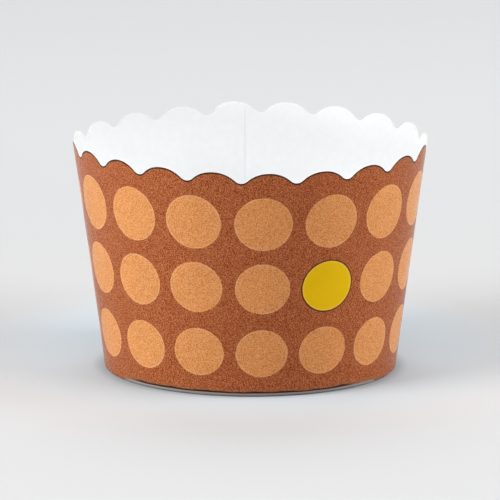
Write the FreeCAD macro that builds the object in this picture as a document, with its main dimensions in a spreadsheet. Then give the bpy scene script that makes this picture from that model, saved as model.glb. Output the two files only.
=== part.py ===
# Paper baking cup with a scalloped rim.
#
# It has two pieces, as the real cup has. side_wall is one laminated sheet, die-cut, wrapped into
# a cone and glued where its ends overlap; its lower edge is folded inwards as a hem. base_disc
# is a round sheet with a turned-down skirt, which the wall and its hem hold between them.
# Z is the cup's axis, Z = 0 is the surface it stands on, and -Y is its front.
import FreeCAD, Part
import math
import os
import Sketcher

# Driving dimensions, in millimetres and degrees. A turn is counted about Z from the front.
SIZES = [
    ("top_diameter", 70.0, "outside diameter at the tips of the lobes"),
    ("foot_diameter", 58.0, "outside diameter of the cone at the standing surface"),
    ("cup_height", 46.0, "standing surface to the tips of the lobes"),
    ("wall_sheet", 0.35, "thickness of the sheet that the wall is rolled from"),
    ("base_sheet", 0.3, "thickness of the sheet that the base is pressed from"),
    ("seal_film", 0.05, "adhesive film on each face of the base's skirt"),
    ("base_height", 5.0, "standing surface to the top of the base disc"),
    ("base_bend", 0.4, "legs of the bevel where the disc turns down into the skirt"),
    ("hem_gap", 0.6, "height left free between the hem's edge and the disc"),
    ("scallop_count", 20, "lobes round the rim"),
    ("scallop_depth", 2.1, "drop from the tip of a lobe to the bottom of a valley"),
    ("valley_radius", 1.8, "rounding at the bottom of a valley"),
    ("valley_turn", -3.1, "turn of the first valley"),
    ("lap_turn", 182.2, "turn of the sheet's inner end, where the lap starts"),
    ("lap_width", 6.0, "overlap of the sheet's two ends, measured at the rim"),
    ("jog_width", 1.5, "run over which the outer end climbs on to the inner end"),
    ("press_height", 1.2, "height over which the lap is pressed flat above the foot"),
]

# A blend is carried this far through the face that it runs out on.
BLEND_PASS = 0.02
# A cutter starts and ends this far outside what it cuts.
CUT_CLEAR = 2.0
# Turn from the front, -Y, to +X, where an unturned section lies.
SECTION_TURN = 90
FULL_TURN = 360
# Directions in a section, in radians.
UP, LEFT, DOWN, RIGHT = (math.radians(angle) for angle in (90, 180, 270, 360))
# The smallest change of volume, in cubic millimetres, that counts as a cut or an addition.
REAL_CHANGE = 0.01
# Sketcher's numbers: the ends and the centre of an edge, and the sketch's own two axes.
START, END, CENTRE = 1, 2, 3
AXIS_H, AXIS_V = -1, -2

# The foot holds four layers: the wall, a film, the skirt, a film and then the hem.
SKIRT_OUTSIDE = "Sizes.wall_sheet + Sizes.seal_film"
SKIRT_INSIDE = "Sizes.wall_sheet + Sizes.seal_film + Sizes.base_sheet"
HEM_OUTSIDE = "Sizes.wall_sheet + Sizes.base_sheet + 2 * Sizes.seal_film"
HEM_INSIDE = "2 * Sizes.wall_sheet + Sizes.base_sheet + 2 * Sizes.seal_film"
HEM_TOP = "Sizes.base_height - Sizes.base_sheet - Sizes.hem_gap"
# The hem's corner is a bevel, set so that the sheet is nowhere thinner than its thickness.
HEM_BEVEL = "(2 - sqrt(2)) * Sizes.wall_sheet"
DISC_UNDERSIDE = "Sizes.base_height - Sizes.base_sheet"
# The lap starts above the fold of the foot, and the jog lies beside it.
LAP_FOOT = "2 * Sizes.wall_sheet"
LAP_FULL = "2 * Sizes.wall_sheet + Sizes.press_height"
LAP_ANGLE = "360 * Sizes.lap_width / (pi * Sizes.top_diameter)"
LAP_TURN = "Sizes.lap_turn"
JOG_TURN = "Sizes.lap_turn - 360 * Sizes.jog_width / (pi * Sizes.top_diameter)"
# Half a scallop's chord is taken just inside the wall, so that two cuts never meet.
HALF_PITCH = "(Sizes.top_diameter / 2 - 2 * Sizes.wall_sheet) * sin(180 / Sizes.scallop_count)"

doc = FreeCAD.newDocument("baking_cup")


def make_sheet():
    """Return the spreadsheet of driving dimensions."""
    table = doc.addObject("Spreadsheet::Sheet", "Sizes")
    for row, (alias, value, meaning) in enumerate(SIZES, start=1):
        table.set(f"A{row}", alias)
        table.set(f"B{row}", str(value))
        table.set(f"C{row}", meaning)
        table.setAlias(f"B{row}", alias)
    doc.recompute()
    return table


sheet = make_sheet()


def value_of(expression):
    """Return what an expression over the spreadsheet gives, as a plain number."""
    result = sheet.evalExpression(str(expression))
    return float(getattr(result, "Value", result))


def origin_feature(body, role):
    """Return one of the body's own origin planes or axes."""
    return next(item for item in body.Origin.OriginFeatures if item.Role == role)


def cone_slope():
    """Return the angle between the wall's outside and the vertical, in radians."""
    spread = (value_of("Sizes.top_diameter") - value_of("Sizes.foot_diameter")) / 2
    return math.atan2(spread, value_of("Sizes.cup_height"))


def cone_point(depth, height):
    """Return a section's point at this depth, square to the wall's outside, and this height."""
    slope = cone_slope()
    foot_radius = value_of("Sizes.foot_diameter") / 2
    radius = foot_radius + height * math.tan(slope) - depth / math.cos(slope)
    return FreeCAD.Vector(radius, height, 0)


class Section:
    """A sketch on a plane through the cup's axis: X is the radius and Y the height.

    Its cone line is the wall's outside, drawn as construction, and depths are held to it.
    """

    def __init__(self, body, name, turn="0"):
        self.sketch = body.newObject("Sketcher::SketchObject", name)
        self.sketch.AttachmentSupport = [(origin_feature(body, "XZ_Plane"), "")]
        self.sketch.MapMode = "FlatFace"
        about_height = FreeCAD.Rotation(FreeCAD.Vector(0, 1, 0), value_of(turn))
        self.sketch.AttachmentOffset = FreeCAD.Placement(FreeCAD.Vector(), about_height)
        self.sketch.setExpression("AttachmentOffset.Rotation.Angle", turn)

    def line(self, first, last, construction=False):
        """Add a line and return its number."""
        return self.sketch.addGeometry(Part.LineSegment(first, last), construction)

    def arc(self, centre, radius, first, last):
        """Add an arc that runs anticlockwise between two angles in radians."""
        circle = Part.Circle(centre, FreeCAD.Vector(0, 0, 1), radius)
        return self.sketch.addGeometry(Part.ArcOfCircle(circle, first, last), False)

    def hold(self, kind, *where):
        """Add a constraint that has no size."""
        self.sketch.addConstraint(Sketcher.Constraint(kind, *where))

    def bind(self, label, expression, kind, *where):
        """Add a constraint whose size follows an expression."""
        constraint = Sketcher.Constraint(kind, *where, value_of(expression))
        number = self.sketch.addConstraint(constraint)
        self.sketch.renameConstraint(number, label)
        self.sketch.setExpression(f"Constraints.{label}", expression)

    def bind_height(self, label, height, edge, end):
        """Hold one end of an edge at a height above the foot."""
        self.bind(f"{label}_height", height, "DistanceY", AXIS_H, START, edge, end)

    def bind_depth(self, label, depth, edge, end, cone):
        """Hold one end of an edge at a depth from the cone line."""
        self.bind(f"{label}_depth", depth, "Distance", edge, end, cone)

    def join(self, *edges):
        """Hold the end of each edge to the start of the next."""
        for edge, after in zip(edges, edges[1:]):
            self.hold("Coincident", edge, END, after, START)

    def cone_line(self):
        """Add the cone line, from the foot to the rim, and return its number."""
        height = value_of("Sizes.cup_height")
        cone = self.line(cone_point(0, 0), cone_point(0, height), construction=True)
        self.hold("PointOnObject", cone, START, AXIS_H)
        self.bind("foot_radius", "Sizes.foot_diameter / 2", "DistanceX", AXIS_H, START, cone, START)
        self.bind("rim_radius", "Sizes.top_diameter / 2", "DistanceX", AXIS_H, START, cone, END)
        self.bind_height("rim", "Sizes.cup_height", cone, END)
        return cone

    def polygon(self, corners):
        """Close a loop of lines through corners, each a depth and a height.

        A depth is an expression, negative outside the cone, and "0" on the cone line itself.
        """
        cone = self.cone_line()
        points = [cone_point(value_of(depth), value_of(height)) for depth, height in corners]
        edges = [self.line(*ends) for ends in zip(points, points[1:] + points[:1])]
        self.join(*edges, edges[0])
        for number, (edge, (depth, height)) in enumerate(zip(edges, corners)):
            self.bind_height(f"corner{number}", height, edge, START)
            if depth == "0":
                self.hold("PointOnObject", edge, START, cone)
            else:
                self.bind_depth(f"corner{number}", f"abs({depth})", edge, START, cone)


def check_change(body, feature, adds):
    """Recompute, and stop if the feature didn't add or remove material as it should."""
    before = body.Shape.Volume
    body.Tip = feature
    doc.recompute()
    change = body.Shape.Volume - before
    if abs(change) < REAL_CHANGE or (change > 0) != adds:
        raise RuntimeError(f"{feature.Name} changed {body.Label} by {change:.3f} cubic mm")


def revolve(body, name, section):
    """Turn a section about the cup's axis."""
    turned = body.newObject("PartDesign::Revolution", name)
    turned.Profile = section.sketch
    turned.ReferenceAxis = (section.sketch, ["V_Axis"])
    turned.Angle = FULL_TURN
    return turned


def loft(body, kind, name, first, last):
    """Join two sections by straight lines, as added or as removed material."""
    joined = body.newObject(f"PartDesign::{kind}", name)
    joined.Profile = first.sketch
    joined.Sections = [last.sketch]
    joined.Ruled = True
    return joined


# ---- side_wall: the wrapped sheet --------------------------------------------------------------


def draw_wall(body):
    """Draw the wall's section: up the outside, down the inside, round the slot and the hem."""
    section = Section(body, "Wall_Section")
    cone = section.cone_line()
    slope = cone_slope()
    sheet_mm = value_of("Sizes.wall_sheet")
    slot_depth = value_of(HEM_OUTSIDE)
    back_depth = value_of(HEM_INSIDE)
    hem_top = value_of(HEM_TOP)
    rim = value_of("Sizes.cup_height")
    square_out = FreeCAD.Vector(math.cos(slope), -math.sin(slope), 0) * sheet_mm
    outer_fold = cone_point(sheet_mm, sheet_mm)
    inner_fold = cone_point(slot_depth, sheet_mm)
    drop = FreeCAD.Vector(0, -sheet_mm, 0)
    bevel = value_of(HEM_BEVEL)
    bevel_top = cone_point(back_depth, bevel)
    bevel_foot = bevel_top + FreeCAD.Vector(bevel, -bevel, 0)

    outside = section.line(outer_fold + square_out, cone_point(0, rim))
    top_edge = section.line(cone_point(0, rim), cone_point(sheet_mm, rim))
    inside = section.line(cone_point(sheet_mm, rim), outer_fold)
    slot_floor = section.line(outer_fold, inner_fold)
    hem_face = section.line(inner_fold, cone_point(slot_depth, hem_top))
    hem_edge = section.line(cone_point(slot_depth, hem_top), cone_point(back_depth, hem_top))
    hem_back = section.line(cone_point(back_depth, hem_top), bevel_top)
    hem_corner = section.line(bevel_top, bevel_foot)
    foot = section.line(bevel_foot, outer_fold + drop)
    fold = section.arc(outer_fold, sheet_mm, DOWN, RIGHT - slope)

    section.join(outside, top_edge, inside, slot_floor, hem_face, hem_edge)
    section.join(hem_edge, hem_back, hem_corner, foot)
    section.hold("Tangent", foot, END, fold, START)
    section.hold("Tangent", fold, END, outside, START)
    for level in (top_edge, slot_floor, hem_edge):
        section.hold("Horizontal", level)
    for sloping in (inside, hem_face, hem_back):
        section.hold("Parallel", sloping, cone)
    section.hold("Coincident", outside, END, cone, END)
    section.hold("PointOnObject", outside, START, cone)
    section.hold("PointOnObject", foot, START, AXIS_H)
    section.hold("Horizontal", foot)
    section.bind_depth("inside", "Sizes.wall_sheet", inside, START, cone)
    section.bind_depth("hem_face", HEM_OUTSIDE, hem_face, END, cone)
    section.bind_depth("hem_back", HEM_INSIDE, hem_back, START, cone)
    section.bind_height("hem", HEM_TOP, hem_edge, START)
    section.bind_height("slot", "Sizes.wall_sheet", slot_floor, START)
    section.bind("fold", "Sizes.wall_sheet", "Radius", fold)
    section.bind_height("hem_corner", HEM_BEVEL, hem_corner, START)
    section.bind("hem_corner_leg", HEM_BEVEL, "DistanceX", hem_corner, START, hem_corner, END)
    return section


def draw_layer(body, name, turn, face):
    """Draw the lap's outer layer at one turn, from the middle of the sheet to its own face."""
    section = Section(body, name, f"{turn} - {SECTION_TURN}")
    half_sheet = "Sizes.wall_sheet / 2"
    section.polygon(
        [
            (half_sheet, LAP_FOOT),
            ("0", LAP_FOOT),
            (face, LAP_FULL),
            (face, "Sizes.cup_height"),
            (half_sheet, "Sizes.cup_height"),
        ]
    )
    return section


def draw_groove(body, name, turn, face):
    """Draw the groove inside the jog at one turn, from inside the cup out to the sheet's face."""
    section = Section(body, name, f"{turn} - {SECTION_TURN}")
    clear = f"Sizes.wall_sheet + {CUT_CLEAR}"
    above = f"Sizes.cup_height + {CUT_CLEAR}"
    section.polygon(
        [
            (clear, "Sizes.base_height"),
            (face, "Sizes.base_height"),
            (face, above),
            (clear, above),
        ]
    )
    return section


def add_lap(body):
    """Lay the sheet's outer end over its inner end, and shape the jog by which it climbs."""
    lap_start = draw_layer(body, "Lap_Section", LAP_TURN, "-Sizes.wall_sheet")
    jog_start = draw_layer(body, "Jog_Section", JOG_TURN, str(BLEND_PASS))
    lap = revolve(body, "Lap_Layer", lap_start)
    lap.setExpression("Angle", LAP_ANGLE)
    check_change(body, lap, adds=True)
    climb = loft(body, "AdditiveLoft", "Jog_Climb", lap_start, jog_start)
    check_change(body, climb, adds=True)
    groove_deep = draw_groove(body, "Groove_Section", LAP_TURN, "0")
    run_out = f"Sizes.wall_sheet + {BLEND_PASS}"
    groove_end = draw_groove(body, "Groove_End_Section", JOG_TURN, run_out)
    groove = loft(body, "SubtractiveLoft", "Jog_Groove", groove_deep, groove_end)
    check_change(body, groove, adds=False)


def draw_scallop(body):
    """Draw what is cut away between two lobes: two lobe arcs and the rounded valley."""
    section = Section(body, "Scallop_Section", "Sizes.valley_turn")
    half = value_of(HALF_PITCH)
    rim = value_of("Sizes.cup_height")
    depth = value_of("Sizes.scallop_depth")
    small = value_of("Sizes.valley_radius")
    large = half**2 / (2 * depth) + depth / 2 - small
    valley_centre = FreeCAD.Vector(0, rim - depth + small, 0)
    left_centre = FreeCAD.Vector(-half, rim - large, 0)
    right_centre = FreeCAD.Vector(half, rim - large, 0)
    lean = math.atan2(valley_centre.y - left_centre.y, half)
    top_left = FreeCAD.Vector(-half, rim + CUT_CLEAR, 0)
    top_right = FreeCAD.Vector(half, rim + CUT_CLEAR, 0)

    left_lobe = section.arc(left_centre, large, lean, UP)
    valley = section.arc(valley_centre, small, LEFT + lean, RIGHT - lean)
    right_lobe = section.arc(right_centre, large, UP, LEFT - lean)
    right_side = section.line(FreeCAD.Vector(half, rim, 0), top_right)
    lid = section.line(top_right, top_left)
    left_side = section.line(top_left, FreeCAD.Vector(-half, rim, 0))

    section.hold("Tangent", left_lobe, START, valley, START)
    section.hold("Tangent", valley, END, right_lobe, END)
    section.hold("Coincident", right_lobe, START, right_side, START)
    section.join(right_side, lid, left_side)
    section.hold("Coincident", left_side, END, left_lobe, END)
    for upright in (right_side, left_side):
        section.hold("Vertical", upright)
    section.hold("Horizontal", lid)
    section.hold("PointOnObject", valley, CENTRE, AXIS_V)
    section.hold("Vertical", left_lobe, CENTRE, left_lobe, END)
    section.hold("Vertical", right_lobe, CENTRE, right_lobe, START)
    section.hold("Equal", left_lobe, right_lobe)
    section.bind("half_pitch", HALF_PITCH, "DistanceX", AXIS_H, START, right_lobe, START)
    section.bind_height("right_tip", "Sizes.cup_height", right_lobe, START)
    section.bind_height("left_tip", "Sizes.cup_height", left_lobe, END)
    section.bind_height("lid", f"Sizes.cup_height + {CUT_CLEAR}", lid, START)
    section.bind("valley", "Sizes.valley_radius", "Radius", valley)
    valley_height = "Sizes.cup_height - Sizes.scallop_depth + Sizes.valley_radius"
    section.bind_height("valley", valley_height, valley, CENTRE)
    return section


def cut_scallops(body):
    """Cut one scallop through the front of the wall, and repeat it round the rim."""
    scallop = body.newObject("PartDesign::Pocket", "Scallop")
    scallop.Profile = draw_scallop(body).sketch
    scallop.Type = "Length"
    scallop.Reversed = True
    scallop.setExpression("Length", f"Sizes.top_diameter / 2 + {CUT_CLEAR}")
    check_change(body, scallop, adds=False)
    rim = body.newObject("PartDesign::PolarPattern", "Scalloped_Rim")
    rim.Originals = [scallop]
    rim.Axis = (origin_feature(body, "Z_Axis"), [""])
    rim.Angle = FULL_TURN
    rim.setExpression("Occurrences", "Sizes.scallop_count")
    check_change(body, rim, adds=False)


def make_side_wall():
    """Build the wrapped sheet with its hem, its lap and its scalloped rim."""
    body = doc.addObject("PartDesign::Body", "side_wall")
    body.Label = "side_wall"
    revolve(body, "Wall_And_Hem", draw_wall(body))
    doc.recompute()
    add_lap(body)
    cut_scallops(body)
    return body


# ---- base_disc: the pressed base ---------------------------------------------------------------


def draw_base(body):
    """Draw the base's section: the flat disc, the bevelled bend and the skirt held in the foot."""
    section = Section(body, "Base_Section")
    cone = section.cone_line()
    sheet_mm = value_of("Sizes.base_sheet")
    bend = value_of("Sizes.base_bend")
    outside_depth = value_of(SKIRT_OUTSIDE)
    inside_depth = value_of(SKIRT_INSIDE)
    top = value_of("Sizes.base_height")
    underside = value_of(DISC_UNDERSIDE)
    skirt_foot = value_of(SKIRT_OUTSIDE)
    shoulder = cone_point(outside_depth, top - bend)
    disc_rim = shoulder + FreeCAD.Vector(-bend, bend, 0)
    outer_foot = cone_point(outside_depth, skirt_foot)
    inner_foot = cone_point(inside_depth, skirt_foot)
    shoulder_under = cone_point(inside_depth, top - bend - sheet_mm / 2)
    rim_under = FreeCAD.Vector(disc_rim.x - sheet_mm / 2, underside, 0)

    disc_top = section.line(FreeCAD.Vector(0, top, 0), disc_rim)
    bevel = section.line(disc_rim, shoulder)
    skirt_out = section.line(shoulder, outer_foot)
    skirt_edge = section.line(outer_foot, inner_foot)
    skirt_in = section.line(inner_foot, shoulder_under)
    bevel_under = section.line(shoulder_under, rim_under)
    disc_under = section.line(rim_under, FreeCAD.Vector(0, underside, 0))
    middle = section.line(FreeCAD.Vector(0, underside, 0), FreeCAD.Vector(0, top, 0))

    section.join(disc_top, bevel, skirt_out, skirt_edge, skirt_in)
    section.join(skirt_in, bevel_under, disc_under, middle, disc_top)
    for level in (disc_top, skirt_edge, disc_under):
        section.hold("Horizontal", level)
    for sloping in (skirt_out, skirt_in):
        section.hold("Parallel", sloping, cone)
    section.hold("Parallel", bevel_under, bevel)
    section.hold("PointOnObject", middle, START, AXIS_V)
    section.hold("PointOnObject", middle, END, AXIS_V)
    section.bind_height("disc", "Sizes.base_height", disc_top, START)
    section.bind_height("underside", DISC_UNDERSIDE, disc_under, END)
    section.bind_height("skirt_edge", SKIRT_OUTSIDE, skirt_edge, START)
    section.bind_height("shoulder", "Sizes.base_height - Sizes.base_bend", skirt_out, START)
    section.bind("bend_leg", "Sizes.base_bend", "DistanceX", bevel, START, bevel, END)
    section.bind_depth("skirt_out", SKIRT_OUTSIDE, skirt_out, END, cone)
    section.bind_depth("skirt_in", SKIRT_INSIDE, skirt_in, START, cone)
    section.bind("bevel_sheet", "Sizes.base_sheet", "Distance", bevel_under, START, bevel)
    return section


def make_base_disc():
    """Build the base as one pressed sheet."""
    body = doc.addObject("PartDesign::Body", "base_disc")
    body.Label = "base_disc"
    revolve(body, "Disc_And_Skirt", draw_base(body))
    doc.recompute()
    return body


# ---- the whole cup -----------------------------------------------------------------------------


def check_document(pieces):
    """Stop if any object failed, or if a piece has no sound solid."""
    failed = [item.Name for item in doc.Objects if {"Invalid", "Error"} & set(item.State)]
    if failed:
        raise RuntimeError(f"these objects failed: {failed}")
    for piece in pieces:
        if piece.Shape.isNull() or not piece.Shape.isValid() or len(piece.Shape.Solids) != 1:
            raise RuntimeError(f"{piece.Label} isn't one valid solid")


def main():
    """Build both pieces, check them and write one file for each."""
    pieces = [make_side_wall(), make_base_disc()]
    for piece in pieces:
        piece.Placement = FreeCAD.Placement()
    doc.recompute()
    check_document(pieces)
    os.makedirs("parts", exist_ok=True)
    for piece in pieces:
        piece.Shape.exportStep(f"parts/{piece.Label}.step")
        print(f"{piece.Label}: {piece.Shape.Volume:.1f} cubic mm")


main()
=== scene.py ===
"""Looks of a scalloped paper baking cup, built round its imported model.

The cup is two pieces of board. The wall is made here as it is in the works: a flat blank is cut,
its foot is folded into a hem, and it is wrapped into a cone whose ends overlap. The base is a
disc with a turned-down skirt. Sizes are in metres and turns in degrees, unless a name says more.
"""

import logging
import math
from dataclasses import dataclass, field
from enum import Enum

import bmesh
import bpy
from mathutils import Matrix, Vector


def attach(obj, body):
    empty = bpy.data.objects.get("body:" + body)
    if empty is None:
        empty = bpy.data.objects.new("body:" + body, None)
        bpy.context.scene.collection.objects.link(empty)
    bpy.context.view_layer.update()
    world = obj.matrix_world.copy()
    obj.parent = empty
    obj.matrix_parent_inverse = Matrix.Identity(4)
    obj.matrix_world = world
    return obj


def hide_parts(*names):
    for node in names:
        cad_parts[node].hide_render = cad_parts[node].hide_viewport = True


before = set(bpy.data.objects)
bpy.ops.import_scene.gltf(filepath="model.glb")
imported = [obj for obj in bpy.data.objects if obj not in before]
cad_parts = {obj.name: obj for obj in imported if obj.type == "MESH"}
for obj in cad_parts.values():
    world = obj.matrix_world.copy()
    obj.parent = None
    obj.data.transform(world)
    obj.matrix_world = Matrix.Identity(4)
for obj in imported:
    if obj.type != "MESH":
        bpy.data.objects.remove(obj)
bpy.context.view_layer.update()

LOG = logging.getLogger("baking_cup")
MM = 0.001
BODY = "root"
PRINT_UV = "print"
EDGE_UV = "edges"
# A mix node has a socket of each name for every kind of data: these are the colours' own ones.
MIX_INPUTS = (0, 6, 7)
MIX_RESULT = 2

Colour = tuple[float, float, float]
Point = tuple[float, float, float]
Band = tuple[float, float]
Socket = bpy.types.NodeSocket
Source = Socket | float


# ---- shapes --------------------------------------------------------------------------------------


@dataclass(frozen=True)
class CupForm:
    """The sizes that the wall and the base share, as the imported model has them."""

    top_radius: float = 35.0 * MM
    foot_radius: float = 29.0 * MM
    height: float = 46.0 * MM
    wall_sheet: float = 0.35 * MM
    base_sheet: float = 0.3 * MM
    seal_film: float = 0.05 * MM
    base_height: float = 5.0 * MM
    hem_gap: float = 0.6 * MM
    lobes: int = 20
    scallop_depth: float = 2.1 * MM
    valley_radius: float = 1.8 * MM
    first_valley: float = -3.1
    lap_turn: float = 182.2
    lap_width: float = 6.0 * MM
    jog_width: float = 1.5 * MM

    @property
    def slope(self) -> float:
        """Return the angle between the wall and the vertical, in radians."""
        return math.atan2(self.top_radius - self.foot_radius, self.height)

    @property
    def hem_depth(self) -> float:
        """Return how deep the back of the hem lies behind the wall's face."""
        return 2 * self.wall_sheet + self.base_sheet + 2 * self.seal_film

    @property
    def hem_top(self) -> float:
        """Return the height of the hem's edge."""
        return self.base_height - self.base_sheet - self.hem_gap

    def turn_of(self, width: float) -> float:
        """Return the turn that a width takes up at the rim."""
        return math.degrees(width / self.top_radius)

    def radius_at(self, height: float, depth: float = 0.0) -> float:
        """Return a radius of the cone.

        Args:
            height: height above the standing surface.
            depth: depth behind the wall's face, square to it.

        Returns:
            The distance from the axis.
        """
        return self.foot_radius + height * math.tan(self.slope) - depth / math.cos(self.slope)

    def rim_height(self, turn: float) -> float:
        """Return the height of the scalloped edge.

        Args:
            turn: turn about the axis, counted from the front.

        Returns:
            The height of the cut edge there.
        """
        pitch = 360 / self.lobes
        half = (self.top_radius - 2 * self.wall_sheet) * math.sin(math.radians(pitch / 2))
        lobe = half**2 / (2 * self.scallop_depth) + self.scallop_depth / 2 - self.valley_radius
        aside = abs((turn - self.first_valley + pitch / 2) % pitch - pitch / 2)
        across = min(half, self.top_radius * math.sin(math.radians(aside)))
        meet = half * self.valley_radius / (lobe + self.valley_radius)
        if across < meet:
            centre = self.height - self.scallop_depth + self.valley_radius
            return centre - math.sqrt(self.valley_radius**2 - across**2)
        return self.height - lobe + math.sqrt(lobe**2 - (half - across) ** 2)


def on_turn(turn: float, radius: float, height: float) -> Vector:
    """Return the point at a turn from the front, a radius and a height."""
    angle = math.radians(turn)
    return Vector((radius * math.sin(angle), -radius * math.cos(angle), height))


def smooth_step(low: float, high: float, value: float) -> float:
    """Return a smooth climb from 0 at low to 1 at high."""
    share = min(1.0, max(0.0, (value - low) / (high - low)))
    return share * share * (3 - 2 * share)


def make_object(
    name: str, shape: bmesh.types.BMesh, finishes: list[bpy.types.Material]
) -> bpy.types.Object:
    """Turn a finished bmesh into an object at the origin.

    Args:
        name: name of the piece.
        shape: the mesh, which is freed.
        finishes: materials, in the order of the faces' material numbers.

    Returns:
        The new object, linked to the scene.
    """
    mesh = bpy.data.meshes.new(name)
    shape.to_mesh(mesh)
    shape.free()
    for finish in finishes:
        mesh.materials.append(finish)
    mesh.shade_smooth()
    piece = bpy.data.objects.new(name, mesh)
    bpy.context.scene.collection.objects.link(piece)
    return piece


# ---- node wiring ---------------------------------------------------------------------------------


class Wiring:
    """A material's node tree, with a short method for each kind of node that the finishes use."""

    def __init__(self, name: str) -> None:
        """Start a material with one principled shader.

        Args:
            name: name of the material.
        """
        self.material = bpy.data.materials.new(name)
        self.material.use_nodes = True
        self.tree = self.material.node_tree
        self.tree.nodes.clear()
        self.shader = self.tree.nodes.new("ShaderNodeBsdfPrincipled")
        output = self.tree.nodes.new("ShaderNodeOutputMaterial")
        self.tree.links.new(self.shader.outputs["BSDF"], output.inputs["Surface"])
        self.object_place = self.tree.nodes.new("ShaderNodeTexCoord").outputs["Object"]

    def feed(self, socket: Socket, source: Source | Colour) -> None:
        """Link a source to a socket, or set the socket if the source is a plain value.

        Args:
            socket: the input to feed.
            source: another node's output, a number or a colour.
        """
        if isinstance(source, Socket):
            self.tree.links.new(source, socket)
        elif isinstance(source, tuple):
            socket.default_value = (*source, 1.0)
        else:
            socket.default_value = source

    def math(self, operation: str, *sources: Source, clamp: bool = False) -> Socket:
        """Add a maths node.

        Args:
            operation: its operation.
            sources: its inputs, in order.
            clamp: whether the result is held between 0 and 1.

        Returns:
            Its result.
        """
        node = self.tree.nodes.new("ShaderNodeMath")
        node.operation = operation
        node.use_clamp = clamp
        for socket, source in zip(node.inputs, sources):
            self.feed(socket, source)
        return node.outputs["Value"]

    def split(self, place: Socket) -> tuple[Socket, Socket]:
        """Take the first two numbers out of a vector.

        Args:
            place: the vector.

        Returns:
            Its X and Y.
        """
        node = self.tree.nodes.new("ShaderNodeSeparateXYZ")
        self.tree.links.new(place, node.inputs["Vector"])
        return node.outputs["X"], node.outputs["Y"]

    def uv_pair(self, layer: str) -> tuple[Socket, Socket]:
        """Read a UV layer.

        Args:
            layer: its name.

        Returns:
            Its two numbers.
        """
        node = self.tree.nodes.new("ShaderNodeUVMap")
        node.uv_map = layer
        return self.split(node.outputs["UV"])

    def distance_from(self, centre: Point) -> Socket:
        """Measure how far a place is from a point.

        Args:
            centre: the point, on the object's own coordinates.

        Returns:
            The distance.
        """
        node = self.tree.nodes.new("ShaderNodeVectorMath")
        node.operation = "DISTANCE"
        self.tree.links.new(self.object_place, node.inputs[0])
        node.inputs[1].default_value = centre
        return node.outputs["Value"]

    def step(self, value: Source, band: Band) -> Socket:
        """Add a smooth step.

        Args:
            value: what the step runs over.
            band: the value at which the step is 0, and the one at which it is 1.

        Returns:
            The step, from 0 to 1.
        """
        start, end = band
        rising = end > start
        node = self.tree.nodes.new("ShaderNodeMapRange")
        node.interpolation_type = "SMOOTHSTEP"
        self.feed(node.inputs["Value"], value)
        node.inputs["From Min"].default_value = min(band)
        node.inputs["From Max"].default_value = max(band)
        node.inputs["To Min"].default_value = 0.0 if rising else 1.0
        node.inputs["To Max"].default_value = 1.0 if rising else 0.0
        return node.outputs["Result"]

    def noise(self, size: float, detail: float = 1.0) -> Socket:
        """Add noise on the object's own coordinates.

        Args:
            size: size of its grains.
            detail: octaves of finer noise.

        Returns:
            A socket that runs from 0 to 1, near 0.5 on average.
        """
        node = self.tree.nodes.new("ShaderNodeTexNoise")
        node.inputs["Scale"].default_value = 1 / size
        node.inputs["Detail"].default_value = detail
        self.tree.links.new(self.object_place, node.inputs["Vector"])
        return node.outputs["Fac"]

    def mix(self, share: Source, first: Source | Colour, second: Source | Colour) -> Socket:
        """Blend two colours.

        Args:
            share: how much of the second one there is.
            first: the colour at a share of 0.
            second: the colour at a share of 1.

        Returns:
            The blend.
        """
        node = self.tree.nodes.new("ShaderNodeMix")
        node.data_type = "RGBA"
        for number, source in zip(MIX_INPUTS, (share, first, second)):
            self.feed(node.inputs[number], source)
        return node.outputs[MIX_RESULT]

    def scale_colour(self, colour: Socket, amount: Source) -> Socket:
        """Make a colour lighter or darker.

        Args:
            colour: the colour.
            amount: what it is multiplied by.

        Returns:
            The new colour.
        """
        node = self.tree.nodes.new("ShaderNodeVectorMath")
        node.operation = "SCALE"
        self.feed(node.inputs[0], colour)
        self.feed(node.inputs["Scale"], amount)
        return node.outputs["Vector"]

    def bump(self, height: Source, distance: float) -> None:
        """Raise the surface.

        Args:
            height: the relief, from 0 to 1.
            distance: how high 1 stands over 0.
        """
        node = self.tree.nodes.new("ShaderNodeBump")
        node.inputs["Distance"].default_value = distance
        node.inputs["Strength"].default_value = 1.0
        self.feed(node.inputs["Height"], height)
        self.tree.links.new(node.outputs["Normal"], self.shader.inputs["Normal"])

    def gloss(self, roughness: float, specular: float) -> None:
        """Set how the bare surface shines."""
        self.shader.inputs["Roughness"].default_value = roughness
        self.shader.inputs["Specular IOR Level"].default_value = specular

    def film(self, weight: float, roughness: float, ior: float) -> None:
        """Lay a clear film over the surface.

        Args:
            weight: how much of the surface it covers.
            roughness: how dull it is.
            ior: its index of refraction.
        """
        self.shader.inputs["Coat Weight"].default_value = weight
        self.shader.inputs["Coat Roughness"].default_value = roughness
        self.shader.inputs["Coat IOR"].default_value = ior


def seen_ray(tree: bpy.types.NodeTree) -> Socket:
    """Tell the rays that show a thing from those that only carry its light.

    Args:
        tree: the node tree to work in.

    Returns:
        A socket: 1 for a ray from the camera, from gloss or through glass, and 0 for any other.
    """
    path = tree.nodes.new("ShaderNodeLightPath")
    seen = path.outputs["Is Camera Ray"]
    for ray in ("Is Glossy Ray", "Is Transmission Ray"):
        either = tree.nodes.new("ShaderNodeMath")
        either.operation = "MAXIMUM"
        tree.links.new(seen, either.inputs[0])
        tree.links.new(path.outputs[ray], either.inputs[1])
        seen = either.outputs["Value"]
    return seen


# ---- finishes ------------------------------------------------------------------------------------


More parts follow.
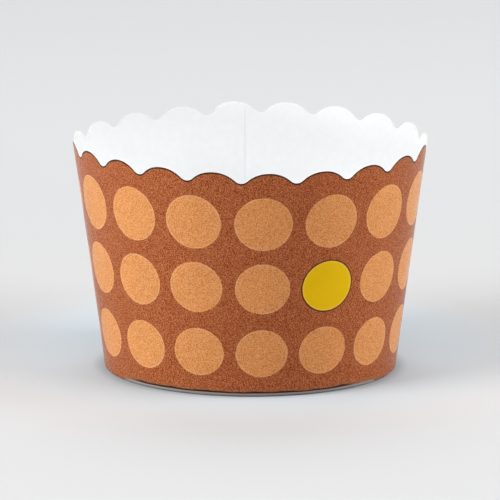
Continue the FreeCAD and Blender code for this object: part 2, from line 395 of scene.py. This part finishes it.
@dataclass(frozen=True)
class DotPrint:
    """The dots' layout: columns round the cup and rows up it, on the flat blank.

    shrink is how much smaller the dots get from each row to the one below it, as a share of the
    size of the top row's.
    """

    columns: int = 15
    first_column: float = 4.32
    rows: int = 3
    first_row: float = 9.02 * MM
    row_pitch: float = 13.425 * MM
    half_width: float = 5.73 * MM
    half_height: float = 5.45 * MM
    shrink: float = 0.0515
    plain_column: int = 16
    plain_row: int = 1

    @property
    def column_pitch(self) -> float:
        """Return the turn from one column to the next."""
        return 360 / self.columns

    def place(self, turn: float, along: float) -> tuple[float, float]:
        """Return a place on the blank, counted in columns and rows from the first dot."""
        column = (turn - self.first_column) / self.column_pitch
        return column, (along - self.first_row) / self.row_pitch


@dataclass(frozen=True)
class PrintedFace:
    """The wall's outside: flecked brown with lighter dots, under a clear film.

    A band is the two values between which a step runs from 0 to 1, and a share is how much of a
    colour is mixed in. Distances out from a dot, down from the cut edge and up from the foot are
    in millimetres.
    """

    layout: DotPrint = DotPrint()

    ground_dark: Colour = (0.300, 0.055, 0.004)
    ground_light: Colour = (0.635, 0.235, 0.096)
    dot_dark: Colour = (0.745, 0.275, 0.058)
    dot_light: Colour = (0.97, 0.515, 0.215)
    grain: float = 0.20 * MM
    fleck_band: Band = (0.40, 0.60)
    mottle_size: float = 6 * MM
    mottle_least: float = 0.92
    mottle_range: float = 0.16

    edge_grain: float = 0.30 * MM
    edge_wander: float = 0.16
    dot_band: Band = (0.06, -0.06)
    dot_edge: Colour = (1.0, 0.62, 0.31)
    dot_edge_band: Band = (-0.30, -0.12)
    patch_size: float = 4 * MM
    patch_contrast: float = 1.6
    patch_cut: float = 0.42

    plain_dot: Colour = (1.0, 0.70, 0.0)
    plain_rim: Colour = (1.0, 0.80, 0.16)
    plain_edge: Colour = (0.17, 0.03, 0.0)
    plain_wander: float = 0.35
    plain_band: Band = (0.30, 0.22)
    plain_rim_band: Band = (-0.34, -0.16)
    plain_rim_share: float = 0.7
    plain_edge_band: Band = (-0.05, 0.0)

    lap_line: Colour = (0.72, 0.60, 0.50)
    lap_columns: Band = (0.016, 0.005)
    lap_share: float = 0.6
    cut_line: Colour = (0.040, 0.022, 0.014)
    cut_band: Band = (0.42, 0.26)
    line_share: float = 0.95

    worn: Colour = (0.36, 0.20, 0.12)
    worn_band: Band = (1.70, 1.20)
    worn_share: float = 0.35
    # A dark line at the crease above the fold, at the front only: partly the print's dark edge,
    # partly painted shade in the crease.
    foot_line_and_crease_shade: Colour = (0.022, 0.012, 0.008)
    foot_line_band: Band = (1.15, 0.93)
    foot_line_left: Band = (-56.0, -46.0)
    foot_line_right: Band = (49.0, 37.0)
    # The unprinted paper at the fold, painted grey for the shade under the fold.
    margin_and_fold_shade: Colour = (0.40, 0.395, 0.37)
    margin_band: Band = (0.74, 0.62)
    margin_wave: float = 0.2
    slip: float = 1.4
    slip_band: Band = (54.0, 66.0)
    wave_size: float = 5 * MM
    wave_height: float = 0.9

    relief_grain: float = 0.35 * MM
    relief: float = 0.01 * MM

    def dot_distance(self, wiring: Wiring, form: CupForm) -> tuple[Socket, Socket, Socket]:
        """Measure how far a place is outside the nearest dot.

        Args:
            wiring: the material's nodes.
            form: the cup's sizes.

        Returns:
            The distance in millimetres, the column and the number of the nearest row.
        """
        layout = self.layout
        last_row = layout.rows - 1
        column, row = wiring.uv_pair(PRINT_UV)
        nearest = wiring.math("ROUND", row)
        nearest = wiring.math("MINIMUM", wiring.math("MAXIMUM", nearest, 0.0), float(last_row))
        aside = wiring.math("SUBTRACT", column, wiring.math("ROUND", column))
        up = wiring.math("SUBTRACT", row, nearest)
        pitch = math.radians(layout.column_pitch)
        first_radius = form.foot_radius + layout.first_row * math.sin(form.slope)
        radius_step = layout.row_pitch * math.sin(form.slope)
        radius = wiring.math("MULTIPLY_ADD", row, radius_step, first_radius)
        lowest_size = 1 - layout.shrink * last_row
        size = wiring.math("MULTIPLY_ADD", nearest, layout.shrink, lowest_size)
        across = wiring.math("MULTIPLY", aside, pitch / layout.half_width)
        across = wiring.math("MULTIPLY", across, radius)
        along = wiring.math("MULTIPLY", up, layout.row_pitch / layout.half_height)
        squares = [wiring.math("POWER", length, 2.0) for length in (across, along)]
        from_middle = wiring.math("SQRT", wiring.math("ADD", *squares))
        outside = wiring.math("SUBTRACT", from_middle, size)
        distance = wiring.math("MULTIPLY", outside, layout.half_height / MM)
        return distance, column, nearest

    def flecked_dot(self, wiring: Wiring, fleck: Socket, distance: Socket) -> Socket:
        """Colour a dot, with a broken pale line round it.

        Args:
            wiring: the material's nodes.
            fleck: the grain, from 0 to 1.
            distance: distance out from the dot, with a ragged edge.

        Returns:
            The dot's colour.
        """
        dot = wiring.mix(fleck, self.dot_dark, self.dot_light)
        near_edge = wiring.step(distance, self.dot_edge_band)
        patches = wiring.noise(self.patch_size)
        patchy = wiring.math(
            "MULTIPLY_ADD", patches, self.patch_contrast, -self.patch_cut, clamp=True
        )
        return wiring.mix(wiring.math("MULTIPLY", near_edge, patchy), dot, self.dot_edge)

    def plain_yellow_dot(self, wiring: Wiring, distance: Socket) -> Socket:
        """Colour the one plain dot: a light rim inside a thin dark line.

        Args:
            wiring: the material's nodes.
            distance: distance out from the dot, nearly clean.

        Returns:
            The dot's colour.
        """
        at_rim = wiring.step(distance, self.plain_rim_band)
        at_rim = wiring.math("MULTIPLY", at_rim, self.plain_rim_share)
        plain = wiring.mix(at_rim, self.plain_dot, self.plain_rim)
        return wiring.mix(wiring.step(distance, self.plain_edge_band), plain, self.plain_edge)

    def printed(self, wiring: Wiring, form: CupForm) -> tuple[Socket, Socket]:
        """Colour the ground and the dots.

        Args:
            wiring: the material's nodes.
            form: the cup's sizes.

        Returns:
            The print's colour, and the place round the cup, counted in columns.
        """
        layout = self.layout
        distance, column, row = self.dot_distance(wiring, form)
        wander = wiring.noise(self.edge_grain, detail=2.0)
        wander = wiring.math("SUBTRACT", wander, 0.5)
        wander = wiring.math("MULTIPLY", wander, 2 * self.edge_wander)
        ragged = wiring.math("ADD", distance, wander)
        clean = wiring.math("MULTIPLY_ADD", wander, self.plain_wander, distance)

        fleck = wiring.step(wiring.noise(self.grain), self.fleck_band)
        ground = wiring.mix(fleck, self.ground_dark, self.ground_light)
        column_aside = wiring.math("SUBTRACT", column, float(layout.plain_column))
        row_aside = wiring.math("SUBTRACT", row, float(layout.plain_row))
        asides = [wiring.math("ABSOLUTE", aside) for aside in (column_aside, row_aside)]
        is_plain = wiring.math("LESS_THAN", wiring.math("MAXIMUM", *asides), 0.5)

        flecked = self.flecked_dot(wiring, fleck, ragged)
        dot = wiring.mix(is_plain, flecked, self.plain_yellow_dot(wiring, clean))
        in_flecked = wiring.step(ragged, self.dot_band)
        in_plain = wiring.step(clean, self.plain_band)
        colour = wiring.mix(wiring.mix(is_plain, in_flecked, in_plain), ground, dot)
        mottle = wiring.noise(self.mottle_size, detail=2.0)
        mottle = wiring.math("MULTIPLY_ADD", mottle, self.mottle_range, self.mottle_least)
        return wiring.scale_colour(colour, mottle), column

    def with_cut_edges(
        self, wiring: Wiring, form: CupForm, colour: Socket, column: Socket, gap: Socket
    ) -> Socket:
        """Add the pale end of the sheet at the lap and the dark line under the scalloped edge.

        Args:
            wiring: the material's nodes.
            form: the cup's sizes.
            colour: the print's colour.
            column: place round the cup, counted in columns.
            gap: distance down from the scalloped edge.

        Returns:
            The colour with both edges.
        """
        last_turn = form.lap_turn + 360 + form.turn_of(form.lap_width)
        lap_end, _ = self.layout.place(last_turn, 0.0)
        start, end = self.lap_columns
        at_lap = wiring.step(column, (lap_end - start, lap_end - end))
        colour = wiring.mix(
            wiring.math("MULTIPLY", at_lap, self.lap_share), colour, self.lap_line
        )
        at_cut = wiring.math("MULTIPLY", wiring.step(gap, self.cut_band), self.line_share)
        return wiring.mix(at_cut, colour, self.cut_line)

    def with_foot(self, wiring: Wiring, colour: Socket, column: Socket, along: Socket) -> Socket:
        """Add the rubbed foot, a dark line at the front that is partly the print's dark edge and
        partly painted crease shade, and the unprinted fold below it, painted grey as shade.

        Args:
            wiring: the material's nodes.
            colour: the print's colour.
            column: place round the cup, counted in columns.
            along: distance up the sheet from the foot.

        Returns:
            The colour with the foot.
        """
        pitch, first = self.layout.column_pitch, self.layout.first_column
        # The sheet starts behind the cup, so that its front lies a whole turn on.
        from_front = wiring.math("MULTIPLY_ADD", column, pitch, first - 360)
        slipped = wiring.step(wiring.math("ABSOLUTE", from_front), self.slip_band)
        along = wiring.math("MULTIPLY_ADD", slipped, self.slip, along)
        wave = wiring.noise(self.wave_size, detail=3.0)
        wave = wiring.math("SUBTRACT", wave, 0.5)
        line_top = wiring.math("MULTIPLY_ADD", wave, self.wave_height, along)

        rubbed = wiring.step(line_top, self.worn_band)
        colour = wiring.mix(wiring.math("MULTIPLY", rubbed, self.worn_share), colour, self.worn)
        # The dark crease line, kept to the front: partly the print's edge, partly painted crease
        # shade.
        ends = [
            wiring.step(from_front, band) for band in (self.foot_line_left, self.foot_line_right)
        ]
        in_front = wiring.math("MULTIPLY", *ends)
        line_and_crease_shade = wiring.math("MULTIPLY", wiring.step(line_top, self.foot_line_band), in_front)
        line_and_crease_shade = wiring.math("MULTIPLY", line_and_crease_shade, self.line_share)
        colour = wiring.mix(line_and_crease_shade, colour, self.foot_line_and_crease_shade)
        # The unprinted fold below the line, painted grey as the shade under the fold.
        margin_top = wiring.math("MULTIPLY_ADD", wave, self.margin_wave, along)
        return wiring.mix(wiring.step(margin_top, self.margin_band), colour, self.margin_and_fold_shade)

    def material(self, form: CupForm) -> bpy.types.Material:
        """Make the finish.

        Args:
            form: the cup's sizes.

        Returns:
            The finish as a material.
        """
        wiring = Wiring("printed_face")
        colour, column = self.printed(wiring, form)
        gap, along = wiring.uv_pair(EDGE_UV)
        colour = self.with_cut_edges(wiring, form, colour, column, gap)
        colour = self.with_foot(wiring, colour, column, along)
        wiring.feed(wiring.shader.inputs["Base Color"], colour)
        wiring.bump(wiring.noise(self.relief_grain, detail=2.0), self.relief)
        wiring.gloss(roughness=0.6, specular=0.0)
        wiring.film(weight=0.55, roughness=0.08, ior=1.28)
        return wiring.material


@dataclass(frozen=True)
class PlainFace:
    """A face of bare or laminated white paper."""

    name: str
    colour: Colour = (0.82, 0.828, 0.836)
    shade: Colour = (0.80, 0.81, 0.82)
    fibre: float = 1.2 * MM
    fibre_band: Band = (0.3, 0.7)
    relief_grain: float = 0.25 * MM
    relief: float = 0.006 * MM
    roughness: float = 0.45
    specular: float = 0.4

    def material(self) -> bpy.types.Material:
        """Make the finish.

        Returns:
            The finish as a material.
        """
        wiring = Wiring(self.name)
        cloud = wiring.step(wiring.noise(self.fibre, detail=4.0), self.fibre_band)
        colour = wiring.mix(cloud, self.shade, self.colour)
        wiring.feed(wiring.shader.inputs["Base Color"], colour)
        wiring.bump(wiring.noise(self.relief_grain, detail=3.0), self.relief)
        wiring.gloss(self.roughness, self.specular)
        return wiring.material


# ---- pieces --------------------------------------------------------------------------------------


class SheetFace(Enum):
    """Material numbers of the wall's faces, in the order that its thickness gives them."""

    PRINTED = 0
    INSIDE = 1
    CUT = 2


@dataclass(frozen=True)
class Ripple:
    """A wave round the soft wall, full at the rim and nothing at the base."""

    waves: int
    size: float
    crest: float

    def at(self, turn: float) -> float:
        """Return the wave's value at a turn from the front."""
        return self.size * math.cos(math.radians(self.waves * (turn - self.crest)))


@dataclass(frozen=True)
class BlankRow:
    """One line across the blank.

    depth and height say where it lies in the folded section, along how far up the sheet it is,
    and share how far it goes from there to the scalloped edge.
    """

    depth: float
    height: float
    along: float
    share: float = 0.0


@dataclass
class WrappedWall:
    """The wall: one die-cut sheet, folded into a hem at its foot and wrapped into a cone."""

    form: CupForm
    layout: DotPrint = field(default_factory=DotPrint)
    column_turn: float = 0.5
    bead_dip: float = 0.10 * MM
    bead_run: float = 1.0
    fold_radius: float = 0.4 * MM
    fold_steps: int = 6
    hem_lip: float = 0.3 * MM
    hem_rows: tuple[float, ...] = (2.2 * MM, 0.9 * MM)
    low_rows_mm: tuple[float, ...] = (0.4, 0.58, 0.72, 0.8, 0.95, 1.15, 1.5, 2.2, 3.2, 4.5)
    middle_rows: int = 15
    rim_band: float = 4.0 * MM
    rim_shares: tuple[float, ...] = (0.25, 0.45, 0.62, 0.75, 0.84, 0.90, 0.94, 0.97, 0.985, 1.0)
    layer_gap: float = 0.02 * MM
    pressed_lift: float = 0.04 * MM
    pressed_from: float = 0.7 * MM
    pressed_to: float = 1.9 * MM
    bulges: tuple[Ripple, ...] = (
        Ripple(0, 0.19 * MM, 0),
        Ripple(1, 0.21 * MM, -90),
        Ripple(2, 0.22 * MM, 59),
        Ripple(3, 0.27 * MM, 0),
    )
    rises: tuple[Ripple, ...] = (
        Ripple(0, 0.06 * MM, 0),
        Ripple(1, 0.09 * MM, 46),
        Ripple(2, 0.24 * MM, -33),
        Ripple(3, 0.10 * MM, -52),
    )
    skew: float = 0.45 * MM
    softness: float = 1.4
    edge_round: float = 0.05 * MM
    edge_angle: float = 50.0

    @property
    def whole_turn(self) -> float:
        """Return the turn from the sheet's inner end to its outer end."""
        return 360 + self.form.turn_of(self.form.lap_width)

    @property
    def thickest(self) -> float:
        """Return the wall's thickness at the sheet's inner end, with the film in the step."""
        return 2 * self.form.wall_sheet + self.layer_gap

    def foot_rows(self) -> list[BlankRow]:
        """Place the rows of the hem and of the fold under the foot.

        Returns:
            The rows, from the hem's edge on.
        """
        form, radius, back = self.form, self.fold_radius, self.form.hem_depth
        quarter = math.pi / 2
        arc = radius * quarter
        flat = back - 2 * radius
        wall_foot = radius / math.cos(form.slope)
        inner_foot = wall_foot - 2 * arc - flat
        hem_heights = (form.hem_top, form.hem_top - self.hem_lip, *self.hem_rows)
        rows = [BlankRow(back, height, inner_foot - (height - radius)) for height in hem_heights]
        for step in range(self.fold_steps + 1):
            angle = quarter * step / self.fold_steps
            depth = back - radius + radius * math.cos(angle)
            height = radius - radius * math.sin(angle)
            rows.append(BlankRow(depth, height, inner_foot + radius * angle))
        for step in range(self.fold_steps):
            angle = quarter * step / self.fold_steps
            depth = radius - radius * math.sin(angle)
            height = radius - radius * math.cos(angle)
            rows.append(BlankRow(depth, height, inner_foot + arc + flat + radius * angle))
        return rows

    def wall_rows(self) -> list[BlankRow]:
        """Place the rows of the wall.

        Returns:
            The rows, from the fold to the scalloped edge.
        """
        upright = math.cos(self.form.slope)
        band_foot = self.form.height - self.rim_band
        heights = [value * MM for value in self.low_rows_mm]
        first = heights[-1]
        rise = band_foot - first
        count = self.middle_rows
        heights += [first + rise * step / count for step in range(1, count + 1)]
        rows = [BlankRow(0.0, height, height / upright) for height in heights]
        rows += [BlankRow(0.0, band_foot, band_foot / upright, share) for share in self.rim_shares]
        return rows

    def unevenness(self, across: float, height: float) -> tuple[float, float]:
        """Work out how far the soft wall stands away from its true cone.

        Args:
            across: turn from the sheet's inner end.
            height: height on the true cone.

        Returns:
            The distances outwards and upwards: none at the base, the most at the rim.
        """
        base = self.form.base_height
        share = max(0.0, (height - base) / (self.form.height - base)) ** self.softness
        turn = self.form.lap_turn + across
        outwards = sum(ripple.at(turn) for ripple in self.bulges)
        upwards = sum(ripple.at(turn) for ripple in self.rises) + self.skew * (across / 360 - 0.5)
        return share * outwards, share * upwards

    def layer_lift(self, across: float, height: float) -> float:
        """Work out how far the sheet lies from its place where it climbs on to its inner end.

        Args:
            across: turn from the sheet's inner end.
            height: height above the standing surface.

        Returns:
            The distance: outwards on the wall, and inwards on the folded hem.
        """
        climb = smooth_step(360 - self.form.turn_of(self.form.jog_width), 360, across)
        free = smooth_step(self.pressed_from, self.pressed_to, height)
        lift = self.form.wall_sheet + self.layer_gap
        return climb * (self.pressed_lift + free * (lift - self.pressed_lift))

    def bead(self, across: float, height: float) -> float:
        """Work out how far the melted inner film fills the step behind the sheet's inner end.

        Args:
            across: turn from the sheet's inner end.
            height: height above the standing surface.

        Returns:
            The film's depth there.
        """
        jog = self.form.turn_of(self.form.jog_width)
        climb = smooth_step(360 - jog, 360, across)
        under = smooth_step(360 + self.bead_run, 360, across) if across > 360 else 1.0
        return under * max(0.0, self.layer_lift(across, height) - self.bead_dip * climb)

    def wrap(self, shape: bmesh.types.BMesh, rows: list[BlankRow], columns: int) -> None:
        """Fold and wrap the flat blank, and write its thickness and its print and edge maps.

        Args:
            shape: a flat grid, half a unit each way from the origin.
            rows: where each of its rows goes.
            columns: how many steps the grid has round the cup.
        """
        form = self.form
        places: dict[int, tuple[float, float, float]] = {}
        thickness = shape.verts.layers.deform.verify()
        for vert in shape.verts:
            across = self.whole_turn * round((vert.co.x + 0.5) * columns) / columns
            row = rows[round((vert.co.y + 0.5) * (len(rows) - 1))]
            turn = form.lap_turn + across
            rim = form.rim_height(turn)
            height = row.height + row.share * (rim - row.height)
            along = row.along + row.share * (rim - row.height) / math.cos(form.slope)
            outwards, upwards = self.unevenness(across, height)
            side = 1 - 2 * row.depth / form.hem_depth
            lift = side * self.layer_lift(across, height)
            radius = form.radius_at(height, row.depth) + lift + outwards
            vert.co = on_turn(turn, radius, height + upwards)
            vert[thickness][0] = (form.wall_sheet + self.bead(across, row.height)) / self.thickest
            places[vert.index] = (turn, along, rim - height)
        print_map = shape.loops.layers.uv.new(PRINT_UV)
        edge_map = shape.loops.layers.uv.new(EDGE_UV)
        for face in shape.faces:
            for loop in face.loops:
                turn, along, gap = places[loop.vert.index]
                loop[print_map].uv = self.layout.place(turn, along)
                loop[edge_map].uv = (gap / MM, along / MM)

    def blank(self) -> bmesh.types.BMesh:
        """Make the wrapped sheet, still without a thickness.

        Returns:
            The sheet, with its faces outwards.
        """
        rows = self.foot_rows() + self.wall_rows()
        columns = round(self.whole_turn / self.column_turn)
        shape = bmesh.new()
        bmesh.ops.create_grid(shape, x_segments=columns, y_segments=len(rows) - 1, size=0.5)
        shape.verts.index_update()
        self.wrap(shape, rows, columns)
        shape.normal_update()
        sample = max(shape.faces, key=lambda face: face.calc_center_median().z)
        if sample.normal.dot(sample.calc_center_median()) < 0:
            bmesh.ops.reverse_faces(shape, faces=shape.faces)
        return shape

    def build(self, finishes: dict[SheetFace, bpy.types.Material]) -> bpy.types.Object:
        """Make the wall.

        Args:
            finishes: the material of each of the sheet's faces.

        Returns:
            The wall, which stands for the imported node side_wall.
        """
        wall = make_object("rolled_wall", self.blank(), [finishes[face] for face in SheetFace])
        wall.vertex_groups.new(name="thickness")
        board = wall.modifiers.new("board", "SOLIDIFY")
        board.thickness = self.thickest
        board.vertex_group = "thickness"
        board.offset = -1
        board.material_offset = SheetFace.INSIDE.value
        board.material_offset_rim = SheetFace.CUT.value
        worn = wall.modifiers.new("cut_edge", "BEVEL")
        worn.width = self.edge_round
        worn.segments = 2
        worn.limit_method = "ANGLE"
        worn.angle_limit = math.radians(self.edge_angle)
        worn.harden_normals = True
        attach(wall, BODY)
        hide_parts("side_wall")
        return wall


@dataclass
class PressedBase:
    """The base: a round board whose edge is turned down into the foot."""

    form: CupForm
    bend_radius: float = 0.65 * MM
    bend_steps: int = 6
    spin_steps: int = 240
    dish: float = 0.12 * MM
    rings: tuple[float, ...] = (0.0, 0.35, 0.6, 0.8, 0.92)
    skirt_clear: float = 0.02 * MM

    def profile(self) -> list[tuple[float, float]]:
        """Draw the board's upper face.

        Returns:
            Radius and height of its points, from the middle outwards.
        """
        form, bend = self.form, self.bend_radius
        depth = form.wall_sheet + form.seal_film
        top = form.base_height
        bend_middle = form.radius_at(top - bend, depth + bend)
        points = [(bend_middle * ring, top - self.dish * (1 - ring**4)) for ring in self.rings]
        full = math.pi / 2 + form.slope
        for step in range(self.bend_steps + 1):
            angle = full * step / self.bend_steps
            radius = bend_middle + bend * math.sin(angle)
            points.append((radius, top - bend + bend * math.cos(angle)))
        skirt_heights = (top / 2, depth + self.skirt_clear)
        points += [(form.radius_at(height, depth), height) for height in skirt_heights]
        return points

    def board(self) -> bmesh.types.BMesh:
        """Spin the profile into the board's upper face.

        Returns:
            The face, closed at its middle and facing up.
        """
        shape = bmesh.new()
        verts = [shape.verts.new(on_turn(0, radius, height)) for radius, height in self.profile()]
        edges = [shape.edges.new(pair) for pair in zip(verts, verts[1:])]
        bmesh.ops.spin(
            shape,
            geom=verts + edges,
            cent=(0, 0, 0),
            axis=(0, 0, 1),
            angle=math.tau,
            steps=self.spin_steps,
            use_merge=True,
        )
        bmesh.ops.remove_doubles(shape, verts=shape.verts, dist=0.001 * MM)
        bmesh.ops.recalc_face_normals(shape, faces=shape.faces)
        shape.normal_update()
        middle = min(shape.faces, key=lambda face: face.calc_center_median().xy.length)
        if middle.normal.z < 0:
            bmesh.ops.reverse_faces(shape, faces=shape.faces)
        return shape

    def build(self, finish: bpy.types.Material) -> bpy.types.Object:
        """Make the base.

        Args:
            finish: its material.

        Returns:
            The base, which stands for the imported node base_disc.
        """
        base = make_object("base_board", self.board(), [finish])
        board = base.modifiers.new("board", "SOLIDIFY")
        board.thickness = self.form.base_sheet
        board.offset = -1
        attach(base, BODY)
        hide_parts("base_disc")
        return base


# ---- studio --------------------------------------------------------------------------------------


@dataclass
class SoftLight:
    """One soft white panel that faces the cup."""

    name: str
    turn: float
    rise: float
    distance: float
    width: float
    length: float
    power: float

    def build(self, target: Vector) -> None:
        """Make the panel.

        Args:
            target: the place that it faces.
        """
        data = bpy.data.lights.new(self.name, "AREA")
        data.shape = "RECTANGLE"
        data.size = self.width
        data.size_y = self.length
        data.energy = self.power
        panel = bpy.data.objects.new(self.name, data)
        rise = math.radians(self.rise)
        reach = self.distance * math.cos(rise)
        panel.location = target + on_turn(self.turn, reach, self.distance * math.sin(rise))
        panel.rotation_euler = (target - panel.location).to_track_quat("-Z", "Y").to_euler()
        bpy.context.scene.collection.objects.link(panel)


@dataclass
class Studio:
    """The pale floor, the soft lights, the world and the camera."""

    floor_half: float = 5.0
    floor_colour: Colour = (0.572, 0.575, 0.580)
    # A bluer colour painted on the floor round the cup, where its shadows fall: painted shadow
    # colour.
    painted_shadow_tint: Colour = (0.568, 0.660, 0.720)
    floor_far: Colour = (0.611, 0.624, 0.633)
    floor_bounce: Colour = (0.31, 0.198, 0.18)
    far_band: Band = (60 * MM, 300 * MM)
    shadow_tint_centre: Point = (0.0, 12 * MM, 0.0)
    shadow_tint_band: Band = (66 * MM, 31 * MM)
    # A painted contact shadow: the floor is darkened in a thin ring round the foot.
    contact_shade: float = 0.78
    contact_width: float = 3 * MM
    world_colour: Colour = (0.80, 0.82, 0.74)
    world_strength: float = 0.02
    world_seen: float = 0.8
    target: Vector = field(default_factory=lambda: Vector((-0.00012, 0.0, 0.02324)))
    elevation: float = 12.274
    distance: float = 1.89
    roll: float = 0.226
    lens: float = 683.7
    lights: list[SoftLight] = field(
        default_factory=lambda: [
            SoftLight("panel_left", -61, 32, 0.9, 0.45, 0.45, 5.15),
            SoftLight("panel_left_high", -68, 58, 0.9, 0.45, 0.45, 1.75),
            SoftLight("panel_left_low", -68, 3, 0.9, 0.45, 0.10, 1.6),
            SoftLight("panel_right", 76, 32, 0.9, 0.75, 0.45, 7.2),
            SoftLight("panel_top", 0, 82, 1.1, 0.6, 0.6, 3.1),
            SoftLight("panel_back", 180, 45, 1.1, 0.9, 0.7, 5.55),
        ]
    )

    def make_floor(self, foot_radius: float) -> None:
        """Make the pale floor that the cup stands on.

        Args:
            foot_radius: radius of the cup's foot, round which a contact shadow is painted on the
                floor.
        """
        shape = bmesh.new()
        bmesh.ops.create_grid(shape, x_segments=2, y_segments=2, size=self.floor_half)
        wiring = Wiring("floor")
        _, behind = wiring.split(wiring.object_place)
        far = wiring.step(behind, self.far_band)
        # Painted shadow colour: the floor round the cup is tinted bluer where the cup's shadows
        # fall.
        near = wiring.step(wiring.distance_from(self.shadow_tint_centre), self.shadow_tint_band)
        shown = wiring.mix(far, self.floor_colour, self.floor_far)
        shown = wiring.mix(near, shown, self.painted_shadow_tint)
        # A painted contact shadow: the floor is darker in a thin ring just outside the foot.
        from_axis = wiring.distance_from((0.0, 0.0, 0.0))
        clear = wiring.step(from_axis, (foot_radius, foot_radius + self.contact_width))
        painted_contact_shadow = wiring.math(
            "MULTIPLY_ADD", clear, 1 - self.contact_shade, self.contact_shade
        )
        shown = wiring.scale_colour(shown, painted_contact_shadow)
        colour = wiring.mix(seen_ray(wiring.tree), self.floor_bounce, shown)
        wiring.feed(wiring.shader.inputs["Base Color"], colour)
        wiring.gloss(roughness=1.0, specular=0.0)
        floor = make_object("studio_floor", shape, [wiring.material])

    def make_world(self) -> None:
        """Make a pale world, which the camera and the gloss see, and which lights a little."""
        world = bpy.data.worlds.new("studio_world")
        bpy.context.scene.world = world
        world.use_nodes = True
        tree = world.node_tree
        background = tree.nodes["Background"]
        background.inputs["Color"].default_value = (*self.world_colour, 1.0)
        level = tree.nodes.new("ShaderNodeMapRange")
        level.inputs["To Min"].default_value = self.world_strength
        level.inputs["To Max"].default_value = self.world_seen
        tree.links.new(seen_ray(tree), level.inputs["Value"])
        tree.links.new(level.outputs["Result"], background.inputs["Strength"])

    def make_camera(self) -> None:
        """Make the camera: a long lens, looking slightly down at the front of the cup."""
        data = bpy.data.cameras.new("camera")
        data.lens = self.lens
        data.sensor_width = 36.0
        data.clip_end = 50.0
        camera = bpy.data.objects.new("camera", data)
        rise = math.radians(self.elevation)
        reach = self.distance * math.cos(rise)
        camera.location = self.target + on_turn(0, reach, self.distance * math.sin(rise))
        tilt = Matrix.Rotation(math.pi / 2 - rise, 3, "X")
        roll = Matrix.Rotation(math.radians(self.roll), 3, "Z")
        camera.rotation_euler = (tilt @ roll).to_euler()
        bpy.context.scene.collection.objects.link(camera)
        bpy.context.scene.camera = camera

    def build(self, foot_radius: float) -> None:
        """Make the whole studio.

        Args:
            foot_radius: radius of the cup's foot.
        """
        self.make_floor(foot_radius)
        self.make_world()
        self.make_camera()
        for light in self.lights:
            light.build(self.target)
        bpy.context.scene.view_settings.view_transform = "Standard"


def main() -> None:
    """Build the cup and its studio."""
    logging.basicConfig(level=logging.INFO, format="%(name)s: %(message)s")
    form = CupForm()
    cut = PlainFace(
        "cut_edge",
        colour=(0.75, 0.72, 0.69),
        shade=(0.68, 0.65, 0.61),
        roughness=0.9,
        specular=0.1,
    )
    finishes = {
        SheetFace.PRINTED: PrintedFace().material(form),
        SheetFace.INSIDE: PlainFace("inside_face").material(),
        SheetFace.CUT: cut.material(),
    }
    wall = WrappedWall(form).build(finishes)
    LOG.info("%s: %d faces before its thickness", wall.name, len(wall.data.polygons))
    base = PressedBase(form).build(PlainFace("base_face", roughness=0.6, specular=0.3).material())
    LOG.info("%s: %d faces before its thickness", base.name, len(base.data.polygons))
    Studio().build(form.foot_radius)


if __name__ == "__main__":
    main()
